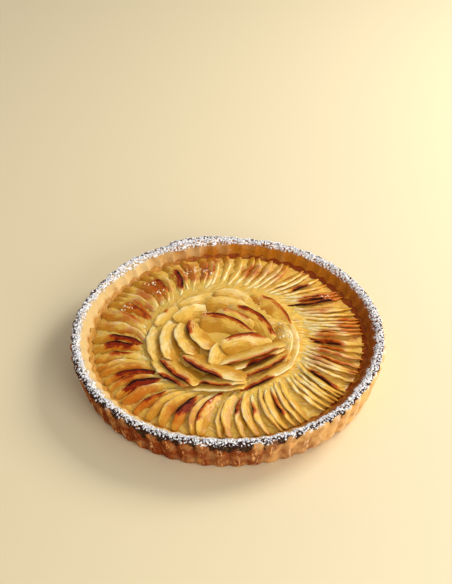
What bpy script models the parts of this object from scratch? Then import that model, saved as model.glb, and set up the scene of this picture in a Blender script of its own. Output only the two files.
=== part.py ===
"""French apple tart, 270 mm across: a fluted shortcrust shell, a bed of apple compote,
a fan of thin apple slices leaning on each other, and a rose of larger slices in the middle.

Metres, +Z up. The origin is the middle of the flat underside. Angles run anticlockwise from +X.
"""
import math
import random

import bmesh
import bpy
from mathutils import Vector

# Shell. Each line is one level: radius, height, share of the flutes' depth and share of the
# baked rim's unevenness. The outside goes up from the foot, the inside down to the floor.
RIM_RADIUS = 0.135
SHELL_HEIGHT = 0.0330
SHELL_OUTSIDE = (
    (0.1265, 0.0, 0.5, 0.0),
    (0.1285, 0.0020, 0.8, 0.0),
    (0.13275, 0.0231, 1.0, 0.4),
    (RIM_RADIUS, 0.0300, 0.8, 1.0),
    (RIM_RADIUS - 0.0012, 0.0322, 0.45, 1.0),
    (RIM_RADIUS - 0.0044, SHELL_HEIGHT, 0.15, 1.0),
)
SHELL_INSIDE = (
    (RIM_RADIUS - 0.0080, 0.0314, 0.0, 1.0),
    (0.1205, 0.0260, 0.0, 0.3),
    (0.1135, 0.0050, 0.0, 0.0),
)
FLUTES = 58
FLUTE_DEPTH = 0.0016
FLUTE_PROFILE = (1.0, 0.45, -1.0, 0.45)
SHARP_ANGLE = math.radians(50)

# Unevenness of the baked rim: waves round the circle, amplitude and phase
RADIUS_WAVES = ((4, 0.00045, 0.6), (6, 0.00035, 2.2), (10, 0.00025, 4.1))
HEIGHT_WAVES = ((3, 0.00040, 1.0), (5, 0.00045, 2.9), (11, 0.00030, 0.3))
LIFTED_RIM_START = math.radians(80)
LIFTED_RIM_FULL = math.radians(97)
LIFTED_RIM_END = math.radians(112)
LIFTED_RIM_BREAK = math.radians(115)
LIFTED_RIM_HEIGHT = 0.0026

# Compote bed: clearance to the shell, level of its top, and how its edge climbs at the wall
GAP = 0.0003
BED_CLEARANCE = 0.0006
BED_LEVEL = 0.0203
BED_EDGE_CLIMB = 0.0012
BED_EDGE_WIDTH = 0.003
WELD_DISTANCE = 1e-6

# Fan of thin slices
FAN_SEED = 31
FAN_CORE_PROFILE = (
    (0.1145, 0.0211),
    (0.1050, 0.0228),
    (0.0930, 0.0252),
    (0.0780, 0.0252),
    (0.0680, 0.0227),
    (0.0400, 0.0232),
    (0.0200, 0.0236),
)
FAN_CORE_SEGMENTS = 48
FAN_INNER_RADIUS = 0.0575
FAN_PITCH_RADIUS = 0.0840
FAN_BASE_HEIGHT = 0.0230
FAN_SLICE_THICKNESS = 0.0029
FAN_SLICE_SPACING = 0.0034
FAN_STEEPEST_SINE = 0.75
FAN_SLICE_STATIONS = 8
# How much the slices differ: heading in degrees, length, middle radius, breadth and pitch
FAN_HEADING_SPREAD = 6
FAN_LENGTHS = (0.88, 1.04)
FAN_RADIUS_SPREAD = 0.0015
FAN_BREADTHS = (0.82, 1.15)
FAN_PITCHES = (0.62, 1.38)
# Breadth along a slice: at the pressed inner end, where it is full, and lost at the outer end
FAN_INNER_BREADTH = 0.10
FAN_FULL_FROM = 0.6
FAN_OUTER_LOSS = 0.60
FAN_OUTER_STRETCH = (0.72, 1.06)
# Angle in degrees, pitch in degrees, swirl in degrees, slice width and length in metres
FAN_LAYOUT = (
    (-30, 3.8, 16, 0.0115, 0.0530),
    (-12, 3.7, 11, 0.0110, 0.0515),
    (0, 3.7, 8, 0.0110, 0.0510),
    (15, 3.8, 15, 0.0110, 0.0515),
    (32, 4.0, 27, 0.0110, 0.0530),
    (46, 4.3, 32, 0.0115, 0.0540),
    (60, 4.6, 20, 0.0120, 0.0540),
    (90, 5.0, 19, 0.0125, 0.0560),
    (120, 5.2, 18, 0.0130, 0.0570),
    (150, 5.8, 26, 0.0140, 0.0600),
    (180, 6.0, 31, 0.0145, 0.0605),
    (220, 5.9, 29, 0.0145, 0.0600),
    (242, 5.8, 35, 0.0145, 0.0595),
    (258, 5.4, 26, 0.0140, 0.0580),
    (275, 4.8, 15, 0.0130, 0.0565),
    (300, 4.3, 10, 0.0120, 0.0555),
    (330, 3.8, 16, 0.0115, 0.0530),
)

# Rose of larger slices, from the lowest to the highest. Each line gives the two ends of a slice's
# round edge and how far that edge bows outwards, in rim radii, then width and height in metres and
# lean in degrees. The round edge runs anticlockwise about the middle.
ROSE_SLICE_THICKNESS = 0.0023
ROSE_STATIONS = 10
ROSE_TILT = 0.0030
ROSE_TIP = 0.40
ROSE_TURN = 0.6
ROSE_SLICES = (
    ((0.390, -0.300), (0.425, 0.080), 0.040, 0.0170, 0.0302, 14),
    ((0.417, 0.085), (0.205, 0.405), 0.045, 0.0175, 0.0307, 14),
    ((0.170, 0.335), (-0.075, 0.435), 0.045, 0.0185, 0.0312, 14),
    ((-0.050, 0.445), (-0.320, 0.310), 0.020, 0.0150, 0.0298, 14),
    ((-0.270, 0.325), (-0.475, 0.130), 0.035, 0.0148, 0.0298, 14),
    ((-0.465, 0.150), (-0.480, -0.220), 0.045, 0.0155, 0.0298, 14),
    ((-0.485, -0.215), (-0.285, -0.475), 0.045, 0.0140, 0.0309, 14),
    ((-0.255, -0.495), (0.080, -0.510), 0.022, 0.0215, 0.0312, 14),
    ((0.060, -0.505), (0.400, -0.285), 0.035, 0.0165, 0.0300, 14),
    ((0.365, -0.240), (0.380, 0.070), 0.035, 0.0140, 0.0325, 16),
    ((0.305, -0.030), (0.045, 0.275), 0.055, 0.0155, 0.0338, 17),
    ((0.140, 0.280), (-0.120, 0.345), 0.030, 0.0215, 0.0328, 16),
    ((-0.140, 0.300), (-0.355, 0.175), 0.030, 0.0160, 0.0322, 16),
    ((-0.380, 0.150), (-0.410, -0.210), 0.035, 0.0215, 0.0324, 16),
    ((-0.425, -0.240), (-0.230, -0.480), 0.025, 0.0190, 0.0328, 16),
    ((-0.195, -0.440), (0.090, -0.480), 0.035, 0.0130, 0.0338, 16),
    ((0.065, -0.410), (0.385, -0.220), 0.035, 0.0225, 0.0332, 16),
    ((-0.318, 0.115), (-0.270, -0.190), 0.045, 0.0225, 0.0338, 18),
    ((-0.280, -0.240), (0.060, -0.470), 0.050, 0.0160, 0.0356, 14),
    ((0.010, -0.350), (0.345, -0.195), 0.030, 0.0170, 0.0348, 18),
    ((0.165, 0.100), (-0.060, 0.205), 0.025, 0.0130, 0.0352, 18),
    ((-0.250, 0.140), (-0.150, -0.160), 0.050, 0.0210, 0.0345, 20),
    ((-0.040, -0.310), (0.345, -0.165), 0.025, 0.0125, 0.0361, 18),
    ((-0.075, -0.100), (-0.125, -0.290), 0.010, 0.0130, 0.0340, 16),
    ((0.150, 0.030), (-0.150, 0.165), 0.035, 0.0190, 0.0360, 22),
    ((0.265, -0.080), (-0.035, -0.105), 0.050, 0.0185, 0.0372, 20),
)

# Outline of a slice: breadth at a tip, fullness, and thickness at a tip, as shares
SLICE_TIP = 0.14
MOON_POWERS = (2.6, 0.75)
TIP_THICKNESS = 0.55


def make_material(name, colour, roughness):
    """A Principled material with one colour."""
    material = bpy.data.materials.new(name)
    material.use_nodes = True
    shader = material.node_tree.nodes["Principled BSDF"]
    shader.inputs["Base Color"].default_value = (*colour, 1.0)
    shader.inputs["Roughness"].default_value = roughness
    shader.inputs["Metallic"].default_value = 0.0
    material.diffuse_color = (*colour, 1.0)
    return material


def make_object(name, mesh_data, collection, material):
    """Turns a finished bmesh into a named object."""
    bmesh.ops.recalc_face_normals(mesh_data, faces=mesh_data.faces)
    mesh = bpy.data.meshes.new(name)
    mesh_data.to_mesh(mesh)
    mesh_data.free()
    mesh.materials.append(material)
    mesh.shade_smooth()
    mesh.set_sharp_from_angle(angle=SHARP_ANGLE)
    piece = bpy.data.objects.new(name, mesh)
    collection.objects.link(piece)
    return piece


def add_ring(mesh_data, points):
    return [mesh_data.verts.new(point) for point in points]


def bridge(mesh_data, first, second):
    """Joins two closed rings, of which the first may have a whole multiple of the second's points."""
    share = len(first) // len(second)
    for index, corner in enumerate(second):
        following = second[(index + 1) % len(second)]
        start = index * share
        for step in range(share - 1):
            mesh_data.faces.new((first[start + step], first[start + step + 1], corner))
        last = first[start + share - 1]
        beyond = first[(start + share) % len(first)]
        mesh_data.faces.new((last, beyond, following, corner))


def loft(rings):
    """A closed body through a row of rings, with a flat cap at each end."""
    mesh_data = bmesh.new()
    rows = [add_ring(mesh_data, ring) for ring in rings]
    for first, second in zip(rows, rows[1:]):
        bridge(mesh_data, first, second)
    mesh_data.faces.new(rows[0])
    mesh_data.faces.new(rows[-1])
    return mesh_data


def circle(count):
    return [2 * math.pi * index / count for index in range(count)]


def smooth_step(value, low, high):
    share = min(1.0, max(0.0, (value - low) / (high - low)))
    return share * share * (3 - 2 * share)


def waves(angle, table):
    return sum(amplitude * math.sin(count * angle + phase) for count, amplitude, phase in table)


def lifted_rim(angle):
    """The stretch of rim at the back that rose in the oven and ends in a break."""
    rise = smooth_step(angle, LIFTED_RIM_START, LIFTED_RIM_FULL)
    fall = smooth_step(angle, LIFTED_RIM_END, LIFTED_RIM_BREAK)
    return LIFTED_RIM_HEIGHT * (rise - fall)


def shell_ring(level, points_per_flute):
    """The ring of points round the shell at one level, with whole flutes or with plain points."""
    radius, height, flute, uneven = level
    ring = []
    for index, angle in enumerate(circle(FLUTES * points_per_flute)):
        profile = FLUTE_PROFILE[index % points_per_flute]
        reach = radius + flute * FLUTE_DEPTH * profile + uneven * waves(angle, RADIUS_WAVES)
        lift = uneven * (waves(angle, HEIGHT_WAVES) + lifted_rim(angle))
        ring.append((reach * math.cos(angle), reach * math.sin(angle), height + lift))
    return ring


def inner_wall_radius(height):
    """Radius of the shell's inner wall between its floor and the compote's edge."""
    top, floor = SHELL_INSIDE[-2:]
    share = (height - floor[1]) / (top[1] - floor[1])
    return floor[0] + share * (top[0] - floor[0])


def pastry_shell(collection):
    """Fluted shortcrust case, thick at the rim, with a rounded crest that leans in over the wall."""
    pastry = make_material("baked_shortcrust", (0.58, 0.32, 0.10), 0.75)
    rings = [shell_ring(level, len(FLUTE_PROFILE)) for level in SHELL_OUTSIDE]
    rings += [shell_ring(level, len(FLUTE_PROFILE) // 2) for level in SHELL_INSIDE]
    return make_object("pastry_shell", loft(rings), collection, pastry)


def turned(name, profile, segments, collection, material):
    """A round body from a profile of radius and height that starts and ends on the axis."""
    mesh = bpy.data.meshes.new(name)
    points = [(radius, 0, height) for radius, height in profile]
    mesh.from_pydata(points, [(index, index + 1) for index in range(len(points) - 1)], [])
    mesh.materials.append(material)
    piece = bpy.data.objects.new(name, mesh)
    collection.objects.link(piece)
    screw = piece.modifiers.new("turn", "SCREW")
    screw.steps = segments
    screw.render_steps = segments
    screw.use_merge_vertices = True
    screw.merge_threshold = WELD_DISTANCE
    screw.use_normal_flip = True
    screw.use_smooth_shade = False
    return piece


def apple_compote(collection):
    """Bed of stewed apple that fills the case and climbs a little where it meets the wall."""
    compote = make_material("apple_compote", (0.50, 0.22, 0.04), 0.35)
    floor_radius, floor = SHELL_INSIDE[-1][:2]
    edge = BED_LEVEL + BED_EDGE_CLIMB
    edge_radius = inner_wall_radius(edge)
    profile = [
        (0, floor + GAP),
        (floor_radius - BED_CLEARANCE, floor + GAP),
        (edge_radius - BED_CLEARANCE, edge),
        (edge_radius - BED_EDGE_WIDTH, BED_LEVEL),
        (0, BED_LEVEL),
    ]
    return turned("apple_compote", profile, FLUTES, collection, compote)


def half_moon(share, tip=SLICE_TIP):
    """Width of a slice along its length, as a share: full in the middle, narrow at both tips."""
    spread, rounding = MOON_POWERS
    return tip + (1 - tip) * (1 - abs(2 * share - 1) ** spread) ** rounding


def fan_slice_profile(share):
    """Breadth of a fan slice from its inner end, pressed down by the rose, to its blunt outer end."""
    rise = FAN_INNER_BREADTH + (1 - FAN_INNER_BREADTH) * smooth_step(share, 0.0, FAN_FULL_FROM)
    fall = 1 - FAN_OUTER_LOSS * smooth_step(share, *FAN_OUTER_STRETCH)
    return rise * fall


def slice_rings(rim, inward, breadth, lean, thickness, stations):
    """Sections of a thin apple slice whose round edge follows rim(share).

    inward(share) is the level direction in which the face runs down from the round edge to the
    straight edge, breadth(share) is how far it runs, and lean is the face's angle to the level.
    """
    rings = []
    for index in range(stations):
        share = index / (stations - 1)
        down = inward(share) * math.cos(lean) - Vector((0, 0, math.sin(lean)))
        face = inward(share) * math.sin(lean) + Vector((0, 0, math.cos(lean)))
        depth = thickness * (TIP_THICKNESS + (1 - TIP_THICKNESS) * half_moon(share))
        top = rim(share)
        low = top + down * breadth(share)
        rings.append((top, low, low - face * depth, top - face * depth))
    return rings


def fan_value(angle, column):
    """Reads one column of the fan's layout at an angle in degrees."""
    for first, second in zip(FAN_LAYOUT, FAN_LAYOUT[1:]):
        if first[0] <= angle <= second[0]:
            share = (angle - first[0]) / (second[0] - first[0])
            return first[column] + share * (second[column] - first[column])
    raise ValueError(angle)


def fan_slice_rings(angle, pitch, swirl, width, length, draw):
    """One slice of the fan, leaning clockwise on the slice before it."""
    heading = angle - swirl + math.radians(draw.uniform(-FAN_HEADING_SPREAD, FAN_HEADING_SPREAD))
    length *= draw.uniform(*FAN_LENGTHS)
    middle_radius = FAN_INNER_RADIUS + length / 2 + draw.uniform(-FAN_RADIUS_SPREAD, FAN_RADIUS_SPREAD)
    width *= draw.uniform(*FAN_BREADTHS)
    lean = math.asin(min(FAN_STEEPEST_SINE, FAN_SLICE_SPACING / (pitch * FAN_PITCH_RADIUS)))
    along = Vector((math.cos(heading), math.sin(heading), 0))
    clockwise = Vector((along.y, -along.x, 0))
    middle = Vector((math.cos(angle), math.sin(angle), 0)) * middle_radius

    def breadth(share):
        return width * fan_slice_profile(share)

    def rim(share):
        lift = clockwise * math.cos(lean) + Vector((0, 0, math.sin(lean)))
        foot = middle + along * length * (share - 0.5) + Vector((0, 0, FAN_BASE_HEIGHT))
        return foot + lift * breadth(share)

    return slice_rings(rim, lambda share: -clockwise, breadth, lean, FAN_SLICE_THICKNESS,
                       FAN_SLICE_STATIONS)


def fan_slices():
    """All slices of the fan, round the circle, closer together where the layout says so."""
    draw = random.Random(FAN_SEED)
    angle = FAN_LAYOUT[0][0]
    end = FAN_LAYOUT[-1][0]
    slices = []
    while angle < end:
        pitch, swirl, width, length = (fan_value(angle, column) for column in range(1, 5))
        slices.append(fan_slice_rings(math.radians(angle), math.radians(pitch), math.radians(swirl),
                                      width, length, draw))
        angle += pitch * draw.uniform(*FAN_PITCHES)
    return slices


def keep_largest_body(mesh):
    """Drops loose scraps and the walls of sealed hollows, so that one solid body is left."""
    mesh_data = bmesh.new()
    mesh_data.from_mesh(mesh)
    bmesh.ops.remove_doubles(mesh_data, verts=mesh_data.verts, dist=WELD_DISTANCE)
    left = set(mesh_data.verts)
    bodies = []
    while left:
        body = {left.pop()}
        edge = list(body)
        while edge:
            vertex = edge.pop()
            for link in vertex.link_edges:
                other = link.other_vert(vertex)
                if other not in body:
                    body.add(other)
                    edge.append(other)
        left -= body
        bodies.append(body)
    largest = max(bodies, key=len)
    scraps = [vertex for vertex in mesh_data.verts if vertex not in largest]
    bmesh.ops.delete(mesh_data, geom=scraps, context="VERTS")
    bmesh.ops.triangulate(mesh_data, faces=mesh_data.faces)
    return mesh_data


def apple_fan(collection):
    """Ring of thin slices standing on their straight edges in one flat layer that joins them."""
    fruit = make_material("fan_apple", (0.68, 0.40, 0.09), 0.35)
    profile = [(0, BED_LEVEL + GAP), (FAN_CORE_PROFILE[0][0], BED_LEVEL + GAP), *FAN_CORE_PROFILE]
    profile.append((0, FAN_CORE_PROFILE[-1][1]))
    core = turned("fan_core", profile, FAN_CORE_SEGMENTS, collection, fruit)
    loose = bpy.data.collections.new("fan_slices")
    bpy.context.scene.collection.children.link(loose)
    for rings in fan_slices():
        make_object("fan_slice", loft(rings), loose, fruit)
    union = core.modifiers.new("union", "BOOLEAN")
    union.operation = "UNION"
    union.operand_type = "COLLECTION"
    union.collection = loose
    union.solver = "EXACT"
    bpy.context.view_layer.update()
    joined = bpy.data.meshes.new_from_object(core.evaluated_get(bpy.context.evaluated_depsgraph_get()))
    for piece in list(loose.objects) + [core]:
        bpy.data.objects.remove(piece)
    bpy.data.collections.remove(loose)
    return make_object("apple_fan", keep_largest_body(joined), collection, fruit)


def rose_slice_rings(start, end, bow, width, height, lean):
    """Sections of one slice of the rose. Its round edge is an arc, raised in the middle."""
    first = Vector((*start, 0)) * RIM_RADIUS
    last = Vector((*end, 0)) * RIM_RADIUS
    along = (last - first).normalized()
    outward = Vector((along.y, -along.x, 0))
    slope = math.radians(lean)

    def rim(share):
        bulge = 4 * share * (1 - share)
        drop = bow * RIM_RADIUS * math.sin(slope) * (1 - bulge)
        climb = ROSE_TILT * (share - 0.5)
        return (first.lerp(last, share) + outward * bow * RIM_RADIUS * bulge
                + Vector((0, 0, height - drop + climb)))

    def inward(share):
        turn = 4 * bow * RIM_RADIUS * (1 - 2 * share) / (last - first).length
        return -(outward - along * turn * ROSE_TURN).normalized()

    return slice_rings(rim, inward, lambda share: width * half_moon(share, ROSE_TIP), slope,
                       ROSE_SLICE_THICKNESS, ROSE_STATIONS)


def apple_rose(collection):
    """The rose's slices, each laid over the ones before it and clear of them."""
    fruit = make_material("rose_apple", (0.76, 0.50, 0.14), 0.32)
    for number, values in enumerate(ROSE_SLICES, start=1):
        make_object(f"rose_slice_{number:02d}", loft(rose_slice_rings(*values)), collection, fruit)


def main():
    for piece in list(bpy.data.objects):
        bpy.data.objects.remove(piece)
    tart = bpy.data.collections.new("apple_tart")
    bpy.context.scene.collection.children.link(tart)
    pastry_shell(tart)
    apple_compote(tart)
    apple_fan(tart)
    apple_rose(tart)


main()
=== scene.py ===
"""Looks of a French apple tart: fluted shortcrust dusted with sugar, and glazed apple slices."""
import math
import random

import bmesh
import bpy
import numpy as np
from mathutils import Euler, Matrix, Vector, noise
from mathutils.bvhtree import BVHTree


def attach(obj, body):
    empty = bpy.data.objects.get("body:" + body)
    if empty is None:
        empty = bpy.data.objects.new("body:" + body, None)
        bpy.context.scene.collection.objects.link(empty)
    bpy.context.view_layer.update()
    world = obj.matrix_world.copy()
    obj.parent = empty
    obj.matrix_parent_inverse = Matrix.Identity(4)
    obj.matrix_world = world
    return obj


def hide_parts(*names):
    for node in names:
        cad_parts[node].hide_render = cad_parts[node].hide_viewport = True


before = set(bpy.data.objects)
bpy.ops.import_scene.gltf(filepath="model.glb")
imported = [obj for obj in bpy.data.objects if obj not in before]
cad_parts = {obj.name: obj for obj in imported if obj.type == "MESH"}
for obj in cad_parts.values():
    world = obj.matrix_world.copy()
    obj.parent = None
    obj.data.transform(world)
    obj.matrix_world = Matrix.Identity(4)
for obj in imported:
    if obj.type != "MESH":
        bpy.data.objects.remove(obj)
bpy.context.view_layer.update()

# Pastry shell. Shortcrust pressed into a fluted ring, so its outside has rounded ribs with narrow
# grooves between them. It was baked until the rim was brown, with darker burns under the crest,
# and the rim came out wavy, with one stretch at the back that rose and broke. Its colours also
# carry painted light: shade on the sides turned from the light, under the crest, in the grooves
# and at the foot of the inner wall, and highlights on the ribs.


def srgb(red, green, blue):
    """A colour as it looks on a screen, 0 to 255, as the linear colour that a shader takes."""
    return tuple((value / 255) ** 2.2 for value in (red, green, blue)) + (1.0,)


RIM_RADIUS = 0.135
SHELL_HEIGHT = 0.0330
# From the foot up the outside, over the rim and down the inside: radius and height in metres, and
# how much of the flutes and of the rim's waviness shows there
SHELL_LEVELS = (
    (0.1265, 0.0, 0.5, 0.0),
    (0.1285, 0.0020, 0.8, 0.0),
    (0.13275, 0.0231, 1.0, 0.4),
    (RIM_RADIUS, 0.0300, 0.8, 1.0),
    (RIM_RADIUS - 0.0012, 0.0322, 0.45, 1.0),
    (RIM_RADIUS - 0.0044, SHELL_HEIGHT, 0.15, 1.0),
    (RIM_RADIUS - 0.0080, 0.0314, 0.50, 1.0),
    (0.1205, 0.0260, 0.60, 0.3),
    (0.1135, 0.0050, 0.0, 0.0),
)
SHELL_ROUNDINGS = 3
CORNER_CUT = 0.25
FLUTES = 58
FLUTE_DEPTH = 0.0016
FLUTE_POINTS = 12
LEVEL_SPACING = 0.0009
# How many waves go round the rim, how big they are in metres, and where they start
RADIUS_WAVES = ((4, 0.00045, 0.6), (6, 0.00035, 2.2), (10, 0.00025, 4.1))
HEIGHT_WAVES = ((3, 0.00040, 1.0), (5, 0.00045, 2.9), (11, 0.00030, 0.3))
# The stretch that rose: the angles of its slow climb and of its sudden fall
LIFTED_RIM = tuple(math.radians(angle) for angle in (80, 97, 112, 115))
LIFTED_RIM_HEIGHT = 0.0026
# How far apart two seeds lie in the noise
SEED_STEPS = (7.3, 3.1, 5.7)
# Relief of the crust, and how much of it is left where the dough lay against the ring
CRAG_SEED = 1
CRAG_SIZE = 0.0045
CRAG_HEIGHT = 0.0007
LEAST_CRAGS = 0.15
CRUMB_SEED = 2
CRUMB_SIZE = 0.0013
CRUMB_HEIGHT = 0.00025
LEAST_CRUMBS = 0.4
SMOOTH_FOOT_HEIGHT = 0.003
# Where the crust's colours change: heights, and distances from the middle, in metres
BURNT_ABOVE = 0.0274
STAINED_AND_SHADED_BELOW = 0.0258
CREST_FROM = 0.0298
SHOULDER_FROM = 0.1292
OUTERMOST_FROM = 0.1332
# Sizes of the crust's patches of colour and of its relief
PATCH_SIZE = 0.014
STREAK_WIDTH = 0.0022
STREAK_SQUASH = 0.25
STAIN_AND_SHADE_EDGE_SIZE = 0.004
CLOT_SIZE = 0.0019
CRUST_GRAIN = 0.0016
CRUST_PORES = 0.0005
CRUST_RELIEF = 0.0005
# Colours of the crust. Some are painted light: the brown and burnt outside colours and the caramel
# and dark inside colours stand partly for shade, and the pale rib colour for highlights
GOLDEN_CRUST = srgb(236, 190, 122)
BROWN_CRUST_AND_SHADE = srgb(124, 46, 2)
ORANGE_STREAKS = srgb(222, 144, 66)
PAINTED_RIB_HIGHLIGHT = srgb(248, 214, 172)
BURNT_CRUST_AND_SHADE = srgb(48, 24, 18)
CREAMY_WALL = srgb(216, 184, 126)
CARAMEL_WALL_IN_SHADE = srgb(172, 100, 14)
DARK_WALL_SHADOW = srgb(126, 54, 8)
JUICE_STAIN_AND_SHADE = srgb(180, 108, 26)
PALE_CRUMBS = srgb(246, 206, 140)
BURNT_CREST_AND_SHADE = srgb(58, 38, 36)
SUGAR_DUST = srgb(238, 240, 246)


def smooth_step(value, low, high):
    share = np.clip((value - low) / (high - low), 0.0, 1.0)
    return share * share * (3 - 2 * share)


def waves(angle, table):
    return sum(amplitude * np.sin(count * angle + phase) for count, amplitude, phase in table)


def lumps(points, size, seed):
    """Smooth noise from -1 to 1 at each point, with lumps of a size in metres."""
    place = Vector([seed * step for step in SEED_STEPS])
    return np.array([noise.noise(Vector(point) / size + place) for point in points])


def skin(name, rows):
    """A mesh through rows of points that each run round the piece, with its two ends closed."""
    count, around = rows.shape[:2]
    faces = []
    for row in range(count - 1):
        for step in range(around):
            beside = (step + 1) % around
            faces.append((row * around + step, row * around + beside,
                          (row + 1) * around + beside, (row + 1) * around + step))
    faces.append(tuple(reversed(range(around))))
    faces.append(tuple(range((count - 1) * around, count * around)))
    mesh = bpy.data.meshes.new(name)
    mesh.from_pydata(rows.reshape(-1, 3).tolist(), [], faces)
    mesh.shade_smooth()
    return mesh


def mark(mesh, **values):
    """Stores one number per point under each name, for the shaders to read."""
    for name, numbers in values.items():
        layer = mesh.attributes.new(name, "FLOAT", "POINT")
        layer.data.foreach_set("value", np.asarray(numbers, np.float32).ravel())


def place_piece(name, mesh, material, slot, *nodes):
    """Puts a finished mesh in the scene, on the tart's one body, in place of its solids."""
    mesh.materials.append(material)
    piece = bpy.data.objects.new(name, mesh)
    bpy.context.scene.collection.objects.link(piece)
    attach(piece, "root")
    if nodes:
        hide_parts(*nodes)
    return piece


class Shade:
    """A number, colour or vector that changes over a surface: one socket of a material's nodes.

    Sums written with shades add Math nodes, and node() adds any other.
    """

    def __init__(self, tree, socket=None):
        self.tree = tree
        self.socket = socket

    def feed(self, node, inputs):
        for slot, value in inputs.items():
            if isinstance(value, Shade):
                self.tree.links.new(value.socket, node.inputs[slot])
            else:
                node.inputs[slot].default_value = value

    def node(self, kind, settings, inputs, output=0):
        made = self.tree.nodes.new("ShaderNode" + kind)
        for setting, value in settings.items():
            setattr(made, setting, value)
        self.feed(made, inputs)
        return Shade(self.tree, made.outputs[output])

    def surface(self, inputs):
        """Sets the material's own shader."""
        self.feed(self.tree.nodes["Principled BSDF"], inputs)

    def value(self, name):
        """A number that was stored on the mesh."""
        return self.node("Attribute", {"attribute_name": name}, {}, "Fac")

    def place(self):
        """Where a point of the surface lies, in metres."""
        return self.node("TexCoord", {}, {}, "Object")

    def parts(self):
        """The three numbers of a place: to the right, to the back and up."""
        return [self.node("SeparateXYZ", {}, {0: self}, axis) for axis in range(3)]

    def vector(self, *parts):
        return self.node("CombineXYZ", {}, dict(enumerate(parts)))

    def length(self):
        return self.node("VectorMath", {"operation": "LENGTH"}, {0: self}, "Value")

    def grain(self, size, detail=3.0, place=None):
        """Noise from 0 to 1, with lumps of a size in the unit of the place that it is read at."""
        place = place or self.place()
        return self.node("TexNoise", {}, {"Vector": place, "Scale": 1 / size, "Detail": detail})

    def sum(self, operation, first, second):
        return self.node("Math", {"operation": operation}, {0: first, 1: second})

    def __add__(self, other):
        return self.sum("ADD", self, other)

    def __radd__(self, other):
        return self.sum("ADD", other, self)

    def __sub__(self, other):
        return self.sum("SUBTRACT", self, other)

    def __rsub__(self, other):
        return self.sum("SUBTRACT", other, self)

    def __mul__(self, other):
        return self.sum("MULTIPLY", self, other)

    def __rmul__(self, other):
        return self.sum("MULTIPLY", other, self)

    def step(self, low, high):
        """0 below low, 1 above high, and smooth between them."""
        return self.node("MapRange", {"interpolation_type": "SMOOTHSTEP"},
                         {"Value": self, "From Min": low, "From Max": high})

    def mix(self, first, second):
        """The first colour where this is 0 and the second where it is 1."""
        return self.node("Mix", {"data_type": "RGBA"}, {0: self, 6: first, 7: second}, 2)

    def bump(self, distance, strength=1.0):
        """The surface's normal with this as relief, distance metres high."""
        return self.node("Bump", {}, {"Strength": strength, "Distance": distance, "Height": self})


def new_material(name):
    """A material, and the shade that its sums start from."""
    material = bpy.data.materials.new(name)
    material.use_nodes = True
    return material, Shade(material.node_tree)


def round_corners(points, times):
    """Cuts each corner of an open line, again and again, until it is round."""
    for _ in range(times):
        near = (1 - CORNER_CUT) * points[:-1] + CORNER_CUT * points[1:]
        far = CORNER_CUT * points[:-1] + (1 - CORNER_CUT) * points[1:]
        middle = np.stack((near, far), axis=1).reshape(-1, points.shape[1])
        points = np.concatenate((points[:1], middle[1:-1], points[-1:]))
    return points


def even_spacing(points, spacing):
    """Points along a line at even steps, measured in its first two columns."""
    lengths = np.linalg.norm(np.diff(points[:, :2], axis=0), axis=1)
    along = np.concatenate(([0], np.cumsum(lengths)))
    steps = np.linspace(0, along[-1], round(along[-1] / spacing) + 1)
    return np.stack([np.interp(steps, along, column) for column in points.T], axis=1)


def shell_rows():
    """Points of the shell, where each lies from a groove, -1, to a rib, 1, and which are inside."""
    profile = round_corners(np.array(SHELL_LEVELS), SHELL_ROUNDINGS)
    profile = even_spacing(profile, LEVEL_SPACING)
    angle = np.linspace(0, 2 * math.pi, FLUTES * FLUTE_POINTS, endpoint=False)
    rib = 2 * np.abs(np.cos(angle * FLUTES / 2)) - 1
    rise = smooth_step(angle, *LIFTED_RIM[:2]) - smooth_step(angle, *LIFTED_RIM[2:])
    lift = waves(angle, HEIGHT_WAVES) + LIFTED_RIM_HEIGHT * rise
    radius, height, flute, uneven = (column[:, None] for column in profile.T)
    reach = radius + flute * FLUTE_DEPTH * rib + uneven * waves(angle, RADIUS_WAVES)
    level = height + uneven * lift
    slope = np.gradient(profile[:, :2], axis=0)
    slope /= np.linalg.norm(slope, axis=1, keepdims=True)
    outward = np.stack((slope[:, 1], -slope[:, 0]), axis=1)[:, :, None]
    points = np.stack((reach * np.cos(angle), reach * np.sin(angle), level), axis=2)
    flat = points.reshape(-1, 3)
    crags = lumps(flat, CRAG_SIZE, CRAG_SEED).reshape(reach.shape) * CRAG_HEIGHT
    crumbs = lumps(flat, CRUMB_SIZE, CRUMB_SEED).reshape(reach.shape) * CRUMB_HEIGHT
    rough = (LEAST_CRAGS + (1 - LEAST_CRAGS) * uneven) * crags
    rough += (LEAST_CRUMBS + (1 - LEAST_CRUMBS) * uneven) * crumbs
    rough *= smooth_step(height, 0.0, SMOOTH_FOOT_HEIGHT)
    points[:, :, 0] += rough * outward[:, 0] * np.cos(angle)
    points[:, :, 1] += rough * outward[:, 0] * np.sin(angle)
    points[:, :, 2] += rough * outward[:, 1]
    inside = (np.arange(len(profile)) > np.argmax(profile[:, 1]))[:, None] + 0 * reach
    return points, rib + 0 * reach, inside


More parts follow.
